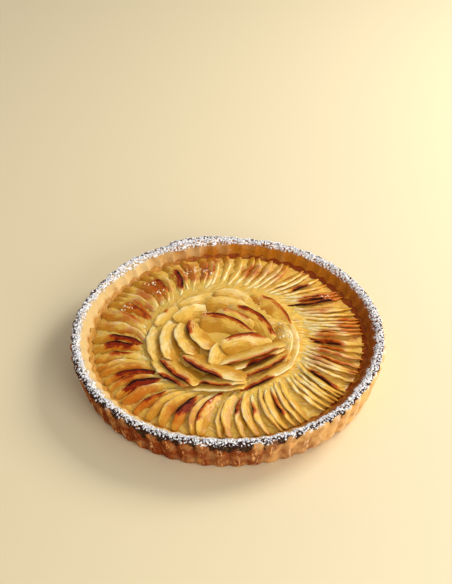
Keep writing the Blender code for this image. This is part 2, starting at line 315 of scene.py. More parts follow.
def shortcrust():
    """Crust, golden to burnt outside, creamy to caramel inside, sugared, with painted shade and
    highlights.
    """
    material, dough = new_material("baked_shortcrust")
    spread, depth, height = dough.place().parts()
    patches = dough.grain(PATCH_SIZE, 4)
    fine = dough.grain(CRUST_GRAIN, 5)
    ribs = dough.value("rib")
    # Outside: browner towards the front left, partly painted shade on the side turned from the
    # light, with pale streaks on the ribs at the right as painted highlights, and burnt black in
    # patches under
    # the crest, most of all in the grooves: burns, and painted shade under the crest and in the
    # grooves
    away_from_light = (0 - spread * 5 - depth * 3).step(-0.7, 0.7)
    brown = away_from_light * 0.85 + (patches - 0.5) * 1.6 + 0.05
    outside = brown.step(0.0, 1.0).mix(GOLDEN_CRUST, BROWN_CRUST_AND_SHADE)
    upright = dough.vector(spread, depth, height * STREAK_SQUASH)
    streaks = dough.grain(STREAK_WIDTH, 3, upright) - 0.5
    outside = (ribs * 0.3 + streaks * 4.0).step(0.2, 1.1).mix(outside, ORANGE_STREAKS)
    pale = ribs * 1.2 + streaks * 3.5 + (patches - 0.5) * 2.5 - away_from_light * 0.9 - 0.35
    outside = (pale.step(0.0, 1.2) * 0.7).mix(outside, PAINTED_RIB_HIGHLIGHT)
    burns_and_shade = ((height - BURNT_ABOVE) * 170 + (patches - 0.5) * 6 + away_from_light * 1.4 - ribs * 0.9
             + streaks * 2 - 0.8)
    outside = burns_and_shade.step(0.0, 0.6).mix(outside, BURNT_CRUST_AND_SHADE)
    # Inside: creamy at the left where the light falls, caramel at the back right and right as
    # painted shade, darkest at the right as painted shadow; the foot is stained by juice and
    # painted shade
    caramel_shade = (spread * 6 + depth * 4 + (patches - 0.5) * 1.5).step(-0.4, 0.7)
    wall = caramel_shade.mix(CREAMY_WALL, CARAMEL_WALL_IN_SHADE)
    wall = ((spread * 9 - depth * 3 - 0.4).step(0.0, 0.8) * 0.8).mix(wall, DARK_WALL_SHADOW)
    ragged = (patches - 0.5) * 4.0 + (dough.grain(STAIN_AND_SHADE_EDGE_SIZE, 3) - 0.5) * 1.6
    stain_and_shade = (STAINED_AND_SHADED_BELOW - height) * 260 + ragged
    wall = (stain_and_shade.step(0.0, 1.4) * 0.75).mix(wall, JUICE_STAIN_AND_SHADE)
    colour = dough.value("inside").mix(outside, wall)
    colour = ((fine - 0.4) * 0.3).mix(colour, PALE_CRUMBS)
    # Crest: sugar, thick at the inner side and thin on the burnt shoulder; the dark crest under it
    # is burns and painted shade between the clumps, darker on the side turned from the light
    across = dough.vector(spread, depth).length()
    shoulder = (across - SHOULDER_FROM).step(0.0, 0.003)
    crest = (height - CREST_FROM).step(0.0, 0.0015)
    outermost = (across - OUTERMOST_FROM).step(0.0, 0.0012)
    scorch_and_shade = (away_from_light * 1.1 + (patches - 0.5) * 4.0 - ribs * 0.6 - 0.1).step(0.0, 0.8)
    black = crest * (0.35 + 0.65 * shoulder) * (1 - outermost * (1 - scorch_and_shade))
    colour = black.mix(colour, BURNT_CREST_AND_SHADE)
    clotted = dough.grain(CLOT_SIZE, 2) + (fine - 0.5) * 0.6 - shoulder * 0.1
    colour = (crest * clotted.step(0.46, 0.56)).mix(colour, SUGAR_DUST)
    dough.surface({
        "Base Color": colour,
        "Roughness": 0.85,
        "Specular IOR Level": 0.05,
        "Normal": (fine + dough.grain(CRUST_PORES, 2) * 0.4).bump(CRUST_RELIEF, 0.8),
    })
    return material


def pastry_shell():
    points, rib, inside = shell_rows()
    mesh = skin("pastry_shell_baked", points)
    mark(mesh, rib=rib, inside=inside)
    return place_piece("pastry_shell_baked", mesh, shortcrust(), "crust", "pastry_shell")


shell = pastry_shell()

# Powdered sugar. Shaken over the rim through a sieve while the tart was warm, so it lies on the
# crest as a thick crust of small clumps, with burnt pastry and painted shade showing as dark specks
# between them, and blue-grey painted shade flecked over the clumps.
SUGAR_SEED = 5
SUGAR_CLUMPS = 4200
SUGAR_RADII = (0.00030, 0.00125)
SUGAR_SHRINK = (0.6, 1.0)
SUGAR_BAND = (RIM_RADIUS - 0.0082, RIM_RADIUS + 0.0004)
SUGAR_HEART = RIM_RADIUS - 0.0058
SUGAR_DEPTH = 0.0035
SUGAR_GAP_SIZE = 0.0022
SUGAR_GAPS = 0.12
CLUMP_UNEVENNESS = 0.28
DENT_SHARE = 0.8
# A height in metres over the whole tart, from which its surface is looked for
ABOVE_ALL = 0.05
SUGAR_SPECKS = 0.0022
SUGAR_GRAIN = 0.0003
SUGAR_RELIEF = 0.0002
SHADOWED_SUGAR = srgb(190, 196, 212)
SUGAR_WHITE = srgb(250, 250, 252)


def surface_of(*pieces):
    points = []
    faces = []
    for piece in pieces:
        start = len(points)
        points += [vertex.co for vertex in piece.data.vertices]
        faces += [[start + index for index in face.vertices] for face in piece.data.polygons]
    return BVHTree.FromPolygons(points, faces)


def spot_below(surface, x, y):
    """The highest point of a surface over one place, or None."""
    return surface.ray_cast(Vector((x, y, ABOVE_ALL)), Vector((0, 0, -1)))[0]


def balls(name, spots, rounds, unevenness, draw):
    """One mesh of small balls, each at its spot and of its size, a little squashed and dented."""
    ball = bmesh.new()
    bmesh.ops.create_icosphere(ball, subdivisions=rounds, radius=1.0)
    corners = [vertex.co.copy() for vertex in ball.verts]
    sides = [[vertex.index for vertex in face.verts] for face in ball.faces]
    ball.free()
    points = []
    faces = []
    for spot, size in spots:
        turn = Euler([draw.uniform(0, 2 * math.pi) for _ in range(3)]).to_matrix()
        stretch = Matrix.Diagonal([1 + unevenness * draw.uniform(-1, 1) for _ in range(3)])
        start = len(points)
        for corner in corners:
            dent = 1 + DENT_SHARE * unevenness * draw.uniform(-1, 1)
            points.append(spot + turn @ stretch @ corner * size * dent)
        faces += [[start + index for index in side] for side in sides]
    mesh = bpy.data.meshes.new(name)
    mesh.from_pydata(points, [], faces)
    return mesh


def powdered_sugar():
    draw = random.Random(SUGAR_SEED)
    surface = surface_of(shell)
    spots = []
    while len(spots) < SUGAR_CLUMPS:
        angle = draw.uniform(0, 2 * math.pi)
        radius = draw.triangular(*SUGAR_BAND, SUGAR_HEART)
        spot = spot_below(surface, radius * math.cos(angle), radius * math.sin(angle))
        bare = noise.noise(Vector((spot.x, spot.y, 0)) / SUGAR_GAP_SIZE) if spot else 1
        if bare < SUGAR_GAPS and spot.z > SHELL_HEIGHT - SUGAR_DEPTH:
            spots.append((spot, draw.uniform(*SUGAR_RADII) * draw.uniform(*SUGAR_SHRINK)))
    mesh = balls("powdered_sugar", spots, 1, CLUMP_UNEVENNESS, draw)
    material, powder = new_material("powdered_sugar")
    # Blue-grey specks are painted shade between the sugar clumps
    painted_shadow_specks = powder.grain(SUGAR_SPECKS, 2).step(0.35, 0.62)
    powder.surface({
        "Base Color": painted_shadow_specks.mix(SHADOWED_SUGAR, SUGAR_WHITE),
        "Roughness": 0.95,
        "Specular IOR Level": 0.2,
        "Normal": powder.grain(SUGAR_GRAIN, 2).bump(SUGAR_RELIEF, 0.6),
    })
    return place_piece("powdered_sugar", mesh, material, "crust")


powdered_sugar()

# Compote. Stewed apple spread over the shell's floor and glazed in the oven: amber, lumpy and
# wet, it shows as a ring between the slices and the wall.
BED_SEED = 11
BED_LEVEL = 0.0203
# Radius and height in metres, from the floor's edge up the wall and inwards
BED_PROFILE = (
    (0.1129, 0.0053),
    (0.1222, 0.0243),
    (0.1192, 0.0228),
    (0.1165, 0.0215),
    (0.1120, 0.0208),
    (0.0900, BED_LEVEL),
)
BED_POINTS = 480
BED_SPACING = 0.0011
BED_LUMP_SIZE = 0.0060
BED_LUMP_HEIGHT = 0.0010
# Every lump carries finer ones: how many times smaller, and how high next to it
FINER = 3
FINE_SHARE = 0.4
LUMPS_ABOVE = BED_LEVEL - 0.0004
TURNED_ROUNDINGS = 1
MILLIMETRES = 1000
STEW_PATCHES = 0.009
PULP_SIZE = 0.0020
PULP_RELIEF = 0.0007
# Streaks that run outwards: length in millimetres, and how much narrower they are
STEW_STREAKS = 7
STEW_NARROWING = 3.5
AMBER_STEW = srgb(186, 124, 38)
BROWN_STEW_AND_SHADE = srgb(138, 58, 2)
PALE_PULP = srgb(240, 204, 124)


def turned_rows(profile, spacing, count):
    """Points of a round piece from its profile of radius and height, with rounded corners."""
    line = even_spacing(round_corners(np.array(profile), TURNED_ROUNDINGS), spacing)
    angle = np.linspace(0, 2 * math.pi, count, endpoint=False)
    radius, height = (column[:, None] for column in line.T)
    places = (radius * np.cos(angle), radius * np.sin(angle), height + 0 * angle)
    return np.stack(places, axis=2)


def rough_lumps(points, size, seed):
    return lumps(points, size, seed) + FINE_SHARE * lumps(points, size / FINER, seed + 1)


def add_lumps(rows, size, height, seed):
    """Raises and lowers the upper side of a round piece, and leaves its wall as it is."""
    flat = rows.reshape(-1, 3)
    flat[:, 2] += height * rough_lumps(flat, size, seed) * (flat[:, 2] > LUMPS_ABOVE)


def outward_grain(rows):
    """How far out and round each point lies in millimetres, for streaks that run outwards."""
    radius = np.hypot(rows[:, :, 0], rows[:, :, 1])
    angle = np.arctan2(rows[:, :, 1], rows[:, :, 0])
    return {"along": MILLIMETRES * radius, "across": MILLIMETRES * radius * angle}


def compote_material():
    """Stewed apple, amber at the front left, browner at the back right partly as painted shade,
    with pale pulp.
    """
    material, stew = new_material("glazed_compote")
    spread, depth = stew.place().parts()[:2]
    patches = stew.grain(STEW_PATCHES, 4)
    pulp = stew.grain(PULP_SIZE, 5)
    outwards = stew.vector(stew.value("along"), stew.value("across") * STEW_NARROWING, 0)
    strips = stew.grain(STEW_STREAKS, 4, outwards)
    # Browner towards the back right: cooked juice, and painted shade of the wall
    cooked_and_shaded = spread * 4.5 + depth * 2.5 + (patches - 0.5) * 2.4 + (strips - 0.5) * 1.8 + 0.45
    colour = cooked_and_shaded.step(0, 1).mix(AMBER_STEW, BROWN_STEW_AND_SHADE)
    pale = ((strips - 0.5) * 2.5 + (pulp - 0.5) * 1.2 - spread * 4 + 0.1).step(0.2, 0.9)
    colour = (pale * 0.3).mix(colour, PALE_PULP)
    stew.surface({
        "Base Color": colour,
        "Roughness": pulp * 0.35 + 0.3,
        "Specular IOR Level": 0.15,
        "Coat Weight": 0.08,
        "Coat Roughness": 0.15,
        "Subsurface Weight": 0.2,
        "Subsurface Radius": (1.0, 0.45, 0.15),
        "Subsurface Scale": 0.002,
        "Normal": (pulp + strips).bump(PULP_RELIEF, 0.8),
    })
    return material


def apple_compote():
    rows = turned_rows(BED_PROFILE, BED_SPACING, BED_POINTS)
    add_lumps(rows, BED_LUMP_SIZE, BED_LUMP_HEIGHT, BED_SEED)
    mesh = skin("compote_bed", rows)
    mark(mesh, **outward_grain(rows))
    place_piece("compote_bed", mesh, compote_material(), "compote", "apple_compote")


apple_compote()

# Fan of apple slices. Peeled half-moons, cut thin and laid round the tart like fallen dominoes,
# each leaning clockwise on the one before, with their straight edges in the compote. Their round
# edges stand up, with a painted highlight along them, and burnt brown in places.
FAN_SEED = 31
# The mound of apple under the slices: radius and height in metres, from its edge inwards
FAN_CORE_PROFILE = (
    (0.1185, 0.0195),
    (0.1160, 0.0217),
    (0.1100, 0.0229),
    (0.1020, 0.0240),
    (0.0930, 0.0256),
    (0.0780, 0.0256),
    (0.0680, 0.0262),
    (0.0600, 0.0272),
    (0.0400, 0.0276),
    (0.0200, 0.0285),
)
FAN_CORE_POINTS = 360
FAN_CORE_SPACING = 0.0015
FAN_INNER_RADIUS = 0.0575
FAN_PITCH_RADIUS = 0.0840
FAN_BASE_HEIGHT = 0.0230
FAN_SLICE_THICKNESS = 0.0027
FAN_SLICE_SPACING = 0.0034
FAN_SLICE_STATIONS = 30
FAN_STEEPEST_SINE = 0.75
FAN_HEADING_SPREAD = 6
FAN_LENGTHS = (0.88, 1.04)
FAN_RADIUS_SPREAD = 0.0015
FAN_BREADTHS = (0.82, 1.15)
FAN_PITCHES = (0.62, 1.38)
FAN_INNER_BREADTH = 0.22
FAN_FULL_FROM = 0.6
FAN_OUTER_LOSS = 0.60
FAN_OUTER_STRETCH = (0.72, 1.06)
# How far the slices' thin inner ends reach beyond their measured length, and where all end outside
FAN_INNER_REACH = 0.08
FAN_END_RADIUS = 0.1180
FAN_SINK = 0.0008
FAN_SINK_STRETCH = (0.6, 1.0)
# Angle in degrees, pitch in degrees, swirl in degrees, slice width and length in metres
FAN_LAYOUT = (
    (-30, 3.8, 16, 0.0115, 0.0530),
    (-12, 3.7, 11, 0.0110, 0.0515),
    (0, 3.7, 8, 0.0110, 0.0510),
    (15, 3.8, 15, 0.0110, 0.0515),
    (32, 4.0, 27, 0.0110, 0.0530),
    (46, 4.3, 32, 0.0115, 0.0540),
    (60, 4.6, 20, 0.0120, 0.0540),
    (90, 5.0, 19, 0.0125, 0.0560),
    (120, 5.2, 18, 0.0130, 0.0570),
    (150, 5.8, 26, 0.0140, 0.0600),
    (180, 6.0, 31, 0.0145, 0.0605),
    (220, 5.9, 29, 0.0145, 0.0600),
    (242, 5.8, 35, 0.0145, 0.0595),
    (258, 5.4, 26, 0.0140, 0.0580),
    (275, 4.8, 15, 0.0130, 0.0565),
    (300, 4.3, 10, 0.0120, 0.0555),
    (330, 3.8, 16, 0.0115, 0.0530),
)
# Burnt stretches of round edge: two ends in rim radii, and how wide and dark the burn is. At 0.5
# it is a thin rusty line, at 1 it is black at the edge, and above 1 the black is broad.
FAN_BURNS = (
    ((-0.74, 0.065), (-0.555, -0.055), 1.4),
    ((-0.79, -0.02), (-0.615, -0.105), 1.5),
    ((-0.76, -0.14), (-0.63, -0.21), 0.8),
    ((-0.72, -0.294), (-0.46, -0.336), 1.4),
    ((-0.72, -0.336), (-0.56, -0.392), 0.8),
    ((-0.665, -0.448), (-0.448, -0.413), 1.9),
    ((-0.588, -0.532), (-0.406, -0.469), 0.95),
    ((-0.392, -0.665), (-0.21, -0.581), 1.6),
    ((-0.294, -0.672), (-0.21, -0.616), 0.7),
    ((-0.196, -0.686), (-0.042, -0.504), 0.8),
    ((-0.21, -0.756), (-0.07, -0.63), 0.8),
    ((-0.014, -0.686), (0.07, -0.588), 0.75),
    ((0.098, -0.714), (0.168, -0.616), 0.7),
    ((0.252, -0.56), (0.35, -0.686), 0.7),
    ((0.532, -0.329), (0.672, -0.497), 1.0),
    ((0.52, -0.03), (0.71, -0.07), 0.55),
    ((0.60, -0.09), (0.72, -0.15), 0.55),
    ((0.60, -0.18), (0.74, -0.27), 0.5),
    ((0.42, 0.294), (0.742, 0.273), 0.9),
    ((0.406, 0.322), (0.63, 0.308), 0.7),
    ((0.476, 0.364), (0.756, 0.364), 0.7),
    ((0.434, 0.476), (0.56, 0.476), 1.0),
    ((-0.378, 0.672), (-0.336, 0.49), 1.2),
    ((-0.49, 0.588), (-0.434, 0.476), 1.0),
    ((-0.518, 0.518), (-0.42, 0.406), 0.5),
    ((-0.616, 0.364), (-0.532, 0.21), 0.8),
    ((-0.672, 0.266), (-0.56, 0.126), 0.55),
    ((-0.126, 0.721), (-0.07, 0.644), 0.5),
    ((-0.196, 0.714), (-0.14, 0.658), 0.9),
    ((0.112, 0.616), (0.182, 0.714), 0.6),
)
# Where the oven browned the fan over several slices: middle and reach in rim radii, and how brown
FAN_SCORCHES = (
    ((0.64, -0.06), 0.15, 1.0),
    ((0.62, -0.22), 0.16, 0.6),
    ((0.60, 0.33), 0.18, 0.7),
    ((0.28, -0.64), 0.20, 0.3),
    ((0.10, -0.68), 0.14, 0.2),
    ((-0.28, -0.68), 0.18, 0.7),
    ((-0.52, -0.55), 0.18, 0.9),
    ((-0.60, -0.36), 0.20, 0.9),
    ((-0.66, -0.03), 0.19, 0.9),
    ((-0.60, 0.25), 0.20, 0.9),
    ((-0.50, 0.47), 0.18, 1.0),
    ((-0.22, 0.68), 0.20, 1.0),
    ((0.17, 0.66), 0.14, 0.8),
    ((0.84, 0.10), 0.20, 0.9),
    ((0.74, 0.45), 0.22, 0.9),
    ((0.80, -0.28), 0.16, 0.7),
    ((0.48, 0.72), 0.16, 0.7),
    ((-0.06, 0.84), 0.14, 0.8),
    ((-0.82, 0.20), 0.20, 0.6),
    ((-0.80, -0.25), 0.18, 0.6),
    ((0.36, 0.66), 0.18, 0.6),
)
# Shape of a slice: breadth and thickness at its tips, how its outline and its section round off,
# over which share of its length an end closes, and where its colours fade towards both ends
SLICE_TIP = 0.14
MOON_POWERS = (2.6, 0.75)
TIP_THICKNESS = 0.55
SLICE_AROUND = 24
SLICE_SECTION = (0.72, 0.60)
SLICE_END = 0.06
SLICE_FADE = (0.55, 1.0)
SLICE_FADE_DEPTH = 5.0
SLICE_POINT = 0.03
WRINKLE_SEED = 21
WRINKLE_SIZE = 0.0045
WRINKLE_HEIGHT = 0.00035
RUFFLE_SIZE = 0.0085
RUFFLE_HEIGHT = 0.0010
BURN_FADE = 0.10
BURN_SEARCH_POINTS = 21
SCORCH_HEART = 0.3
# Lumps and browning of the mound between the slices, and what else its shader gets
MOUND_SEED = 12
MOUND_BROWN = 0.6
MOUND_LOOK = {"inset": 3.0, "burn": 0, "tone": 0.1}
# The most that a scorched slice's edge burns
EDGE_BURN = 0.85
# Browning of slices' outer ends: the most, the draw, in which some get none, and its stretch
END_BROWN = 0.5
END_BROWN_DRAW = (-1.2, 1.0)
END_BROWN_STRETCH = (0.5, 1.0)
# Millimetres of face that lie open beyond the round edge
FAN_SHOWN = 5
# Streaks along a slice: length in millimetres, and how much narrower they are
APPLE_STREAKS = 9
APPLE_NARROWING = 4.5
# Size of the patches of colour next to the open face
APPLE_PATCHES = 1.5
# How far from the streaks the patches are read in the noise, and how far apart two slices are
PATCHES_APART = 30
SLICES_APART = 40
APPLE_FIBRES = 0.0013
APPLE_RELIEF = 0.0006
# Colours of the apple. The amber stands partly for painted shade on covered faces, and the pale
# edge colour is a painted highlight
GOLDEN_APPLE = srgb(224, 180, 82)
AMBER_APPLE_IN_SHADE = srgb(194, 136, 42)
CREAMY_APPLE = srgb(240, 216, 152)
PAINTED_EDGE_HIGHLIGHT = srgb(252, 240, 200)
BROWNED_APPLE = srgb(182, 90, 8)
RUSTY_APPLE = srgb(184, 86, 10)
DARK_RED_APPLE = srgb(124, 32, 2)
CHARRED_APPLE = srgb(48, 10, 2)
GLOSS_TINT = srgb(255, 236, 200)


def half_moon(share, tip=SLICE_TIP):
    """Breadth of a slice along its length, as a share: full in the middle, narrow at both tips."""
    spread, rounding = MOON_POWERS
    return tip + (1 - tip) * (1 - abs(2 * share - 1) ** spread) ** rounding


def signed_power(value, power):
    return math.copysign(abs(value) ** power, value)


def slice_rows(rim, inward, breadth, lean, thickness, stations, number):
    """Points of a thin slice with soft edges, and what its shader needs to know of each.

    rim(share) is the round edge, inward(share) the level direction in which the face runs down
    from it, breadth(share) how far it runs, and lean the face's angle to the level. The shader
    gets places along and across the slice and the distance from the round edge, in millimetres.
    That distance is raised towards both ends, which darken as painted shade where they run under
    others.
    """
    turn = [2 * math.pi * (step + 0.5) / SLICE_AROUND for step in range(SLICE_AROUND)]
    across = [signed_power(math.cos(angle), SLICE_SECTION[0]) for angle in turn]
    through = [signed_power(math.sin(angle), SLICE_SECTION[1]) for angle in turn]
    shares = [0.5 - 0.5 * math.cos(math.pi * index / (stations - 1)) for index in range(stations)]
    rows = []
    faces = []
    for share in shares:
        end = min(1.0, min(share, 1 - share) / SLICE_END)
        full = math.sqrt(1 - (1 - end) ** 2) * (1 - SLICE_POINT) + SLICE_POINT
        down = inward(share) * math.cos(lean) - Vector((0, 0, math.sin(lean)))
        face = inward(share) * math.sin(lean) + Vector((0, 0, math.cos(lean)))
        depth = thickness * (TIP_THICKNESS + (1 - TIP_THICKNESS) * half_moon(share))
        middle = rim(share) + down * breadth(share) / 2 - face * depth / 2
        rows.append([middle - down * breadth(share) / 2 * full * out + face * depth / 2 * full * up
                     for out, up in zip(across, through)])
        faces.append(face)
    rows = np.array(rows)
    flat = rows.reshape(-1, 3)
    waver = rough_lumps(flat, WRINKLE_SIZE, WRINKLE_SEED)
    ruffles = np.stack([lumps(flat, RUFFLE_SIZE, number + axis / 3) for axis in range(3)], axis=1)
    rows += WRINKLE_HEIGHT * waver.reshape(stations, SLICE_AROUND, 1) * np.array(faces)[:, None, :]
    rows += RUFFLE_HEIGHT * ruffles.reshape(rows.shape)
    inset = np.array([[breadth(share) * (1 - out) / 2 for out in across] for share in shares])
    inset *= MILLIMETRES
    length = (rim(1.0) - rim(0.0)).length
    share = np.tile(np.array(shares)[:, None], (1, SLICE_AROUND))
    # Painted shade: the raised distance gives the ends the darker covered colour
    faded = SLICE_FADE_DEPTH * smooth_step(abs(2 * share - 1), *SLICE_FADE)
    values = {
        "inset": inset + faded,
        "along": MILLIMETRES * length * share,
        "across": inset + SLICES_APART * number,
    }
    return rows, share, values


def fan_value(angle, column):
    """Reads one column of the fan's layout at an angle in degrees."""
    angles = [line[0] for line in FAN_LAYOUT]
    return float(np.interp(angle, angles, [line[column] for line in FAN_LAYOUT]))


def fan_breadth(share):
    """Breadth from a slice's inner end, pressed down by the rose, to its blunt outer end."""
    rise = FAN_INNER_BREADTH + (1 - FAN_INNER_BREADTH) * smooth_step(share, 0.0, FAN_FULL_FROM)
    return rise * (1 - FAN_OUTER_LOSS * smooth_step(share, *FAN_OUTER_STRETCH))


def fan_slice(angle, draw):
    """One slice of the fan at an angle in degrees: its round edge, and what its section needs."""
    pitch, swirl = (math.radians(fan_value(angle, column)) for column in (1, 2))
    turn = math.radians(angle)
    heading = turn - swirl + math.radians(draw.uniform(-FAN_HEADING_SPREAD, FAN_HEADING_SPREAD))
    length = fan_value(angle, 4) * draw.uniform(*FAN_LENGTHS)
    middle_radius = FAN_INNER_RADIUS + length / 2
    middle_radius += draw.uniform(-FAN_RADIUS_SPREAD, FAN_RADIUS_SPREAD)
    width = fan_value(angle, 3) * draw.uniform(*FAN_BREADTHS)
    lean = math.asin(min(FAN_STEEPEST_SINE, FAN_SLICE_SPACING / (pitch * FAN_PITCH_RADIUS)))
    along = Vector((math.cos(heading), math.sin(heading), 0))
    clockwise = Vector((along.y, -along.x, 0))
    lift = clockwise * math.cos(lean) + Vector((0, 0, math.sin(lean)))
    middle = Vector((math.cos(turn), math.sin(turn), 0)) * middle_radius
    aside = middle.dot(clockwise)
    outer_reach = (math.sqrt(FAN_END_RADIUS ** 2 - aside ** 2) - middle.dot(along)) / length - 0.5

    def rim(share):
        reach = share - 0.5 - FAN_INNER_REACH * (1 - share) ** 2 + outer_reach * share ** 2
        sunk = FAN_SINK * float(smooth_step(share, *FAN_SINK_STRETCH))
        foot = middle + along * length * reach + Vector((0, 0, FAN_BASE_HEIGHT - sunk))
        return foot + lift * width * float(fan_breadth(share))

    return rim, lambda share: -clockwise, lambda share: width * float(fan_breadth(share)), lean


def fan_slices():
    draw = random.Random(FAN_SEED)
    angle = FAN_LAYOUT[0][0]
    slices = []
    while angle < FAN_LAYOUT[-1][0]:
        slices.append(fan_slice(angle, draw))
        angle += fan_value(angle, 1) * draw.uniform(*FAN_PITCHES)
    return slices


def burnt_share(share, stretches):
    """How black a slice's round edge is along its length."""
    black = np.zeros_like(share)
    for first, last, strength in stretches:
        inside = smooth_step(share, first - BURN_FADE, first + BURN_FADE / 2)
        inside *= 1 - smooth_step(share, last - BURN_FADE / 2, last + BURN_FADE)
        black = np.maximum(black, strength * inside)
    return black


def burns_by_slice(slices):
    """Finds the slice that each burn lies on, and between which shares of its length."""
    shares = np.linspace(0, 1, BURN_SEARCH_POINTS)
    rims = np.array([[rim(share)[:2] for share in shares] for rim, *_ in slices]) / RIM_RADIUS
    found = {}
    for first, last, strength in FAN_BURNS:
        middle = 0.5 * (np.array(first) + np.array(last))
        number = int(np.argmin(np.linalg.norm(rims - middle, axis=2).min(axis=1)))
        ends = [shares[np.argmin(np.linalg.norm(rims[number] - end, axis=1))]
                for end in (first, last)]
        found.setdefault(number, []).append((min(ends), max(ends), strength))
    return found


def join_slices(name, parts):
    """One mesh of many slices, with each slice's numbers stored on its points."""
    points = []
    faces = []
    numbers = {}
    for rows, values in parts:
        mesh = skin(name, rows)
        start = len(points)
        points += [vertex.co.copy() for vertex in mesh.vertices]
        faces += [[start + index for index in face.vertices] for face in mesh.polygons]
        bpy.data.meshes.remove(mesh)
        for key, value in values.items():
            numbers.setdefault(key, []).extend(np.broadcast_to(value, rows.shape[:2]).ravel())
    mesh = bpy.data.meshes.new(name)
    mesh.from_pydata(points, [], faces)
    mesh.shade_smooth()
    mark(mesh, **numbers)
    return mesh


def apple_material(name, shown):
    """Baked apple under a thin glaze, with burns that spread from the round edge, painted shade
    where the next slice covers it, and a painted highlight along the round edge.

    shown is how many millimetres of face lie open beyond the round edge.
    """
    material, apple = new_material(name)
    inset = apple.value("inset")
    along = apple.value("along")
    across = apple.value("across")
    burn = apple.value("burn")
    tone = apple.value("tone")
    blush = apple.value("blush")
    lengthwise = apple.vector(along, across * APPLE_NARROWING, 0)
    strips = apple.grain(APPLE_STREAKS, 4, lengthwise) - 0.5
    elsewhere = apple.vector(along, across, PATCHES_APART)
    patches = apple.grain(APPLE_PATCHES * shown, 3, elsewhere) - 0.5
    fibres = apple.grain(APPLE_FIBRES, 4) - 0.5
    # Flesh: golden, amber as painted shade where the next slice covers it and in random patches,
    # creamy in streaks and towards the open face as painted light, and a painted highlight at the
    # round edge
    into = inset * (1 / shown)
    covered_and_shaded = into * 0.9 + patches * 2.2 - strips * 1.8 - tone * 0.2 - 0.35
    colour = covered_and_shaded.step(0.0, 1.0).mix(GOLDEN_APPLE, AMBER_APPLE_IN_SHADE)
    light = 0.5 - into * 0.7 + strips * (13 / shown) + patches * 2.4 + fibres * 0.5 + tone * 0.45
    colour = light.step(0.1, 1.1).mix(colour, CREAMY_APPLE)
    edge = (0.9 - inset * 0.8 + patches * 3.0).step(0.2, 1.0)
    colour = (edge * 0.55).mix(colour, PAINTED_EDGE_HIGHLIGHT)
    glow = (blush + patches * 1.4 + strips * 0.9).step(0.2, 1.0)
    colour = (glow * 0.85).mix(colour, BROWNED_APPLE)
    # Burns: rusty where the heat just reached, then dark red, and black along the edge itself
    uneven = strips * 2.0 + patches * 1.6 + fibres * 0.7
    heat = burn * (uneven + 1.35) - inset * 0.20
    colour = heat.step(0.0, 0.7).mix(colour, RUSTY_APPLE)
    colour = heat.step(0.5, 1.1).mix(colour, DARK_RED_APPLE)
    char = (burn * (uneven * 1.2 + 1.35) - inset * 0.65).step(0.55, 1.0)
    colour = char.mix(colour, CHARRED_APPLE)
    apple.surface({
        "Base Color": colour,
        "Roughness": patches * 0.4 + char * 0.2 + 0.42,
        "Specular IOR Level": 0.16,
        "Specular Tint": GLOSS_TINT,
        "Coat Weight": (1.0 - char) * (patches + 0.3).step(0.0, 0.6) * 0.25,
        "Coat Roughness": 0.14,
        "Subsurface Weight": 0.25,
        "Subsurface Radius": (1.0, 0.45, 0.12),
        "Subsurface Scale": 0.003,
        "Normal": (fibres + strips * 0.9).bump(APPLE_RELIEF, 0.8),
    })
    return material


def scorched(rows):
    """How brown the oven made each point of the fan, from the spots where it was hottest."""
    brown = np.zeros(rows.shape[:2])
    for middle, reach, strength in FAN_SCORCHES:
        away = np.linalg.norm(rows[:, :, :2] / RIM_RADIUS - middle, axis=2)
        brown = np.maximum(brown, strength * (1 - smooth_step(away, SCORCH_HEART * reach, reach)))
    return brown


def apple_fan():
    draw = random.Random(FAN_SEED + 1)
    slices = fan_slices()
    burns = burns_by_slice(slices)
    core = turned_rows(FAN_CORE_PROFILE, FAN_CORE_SPACING, FAN_CORE_POINTS)
    add_lumps(core, BED_LUMP_SIZE, BED_LUMP_HEIGHT, MOUND_SEED)
    brown = MOUND_BROWN * scorched(core)
    parts = [(core, {**outward_grain(core), **MOUND_LOOK, "blush": brown})]
    for number, (rim, inward, breadth, lean) in enumerate(slices):
        rows, share, values = slice_rows(rim, inward, breadth, lean, FAN_SLICE_THICKNESS,
                                         FAN_SLICE_STATIONS, number)
        brown = scorched(rows)
        edge_burn = EDGE_BURN * brown * draw.random()
        edge_burn = np.maximum(edge_burn, burnt_share(share, burns.get(number, ())))
        end_brown = END_BROWN * max(0, draw.uniform(*END_BROWN_DRAW))
        end_brown = end_brown * smooth_step(share, *END_BROWN_STRETCH)
        values |= {"burn": edge_burn, "tone": draw.uniform(-1, 1),
                   "blush": np.maximum(brown, end_brown)}
        parts.append((rows, values))
    fruit = apple_material("fan_apple", FAN_SHOWN)
    mesh = join_slices("fan_slices", parts)
    return place_piece("fan_slices", mesh, fruit, "fan_apple", "apple_fan")


fan = apple_fan()

# Rose of apple slices. Longer and wider slices curled round the middle in rings, the outermost
# laid first, until two or three close the bud. They are the same baked apple, with the round
# edges outside and uppermost, and several of those edges burnt dark.
ROSE_SLICE_THICKNESS = 0.0021
ROSE_STATIONS = 40
ROSE_TILT = 0.0030
ROSE_TIP = 0.40
ROSE_TURN = 0.6
ROSE_TUCK = 1.5
# How far a slice's ends run on under its neighbours, as a share of its length, and sink there
ROSE_REACH = 0.08
ROSE_SINK = 0.0012
ROSE_SHOWN = 9
# The fan's slices are numbered below this for their ruffles, and the rose's above it
ROSE_NUMBERS_FROM = 100
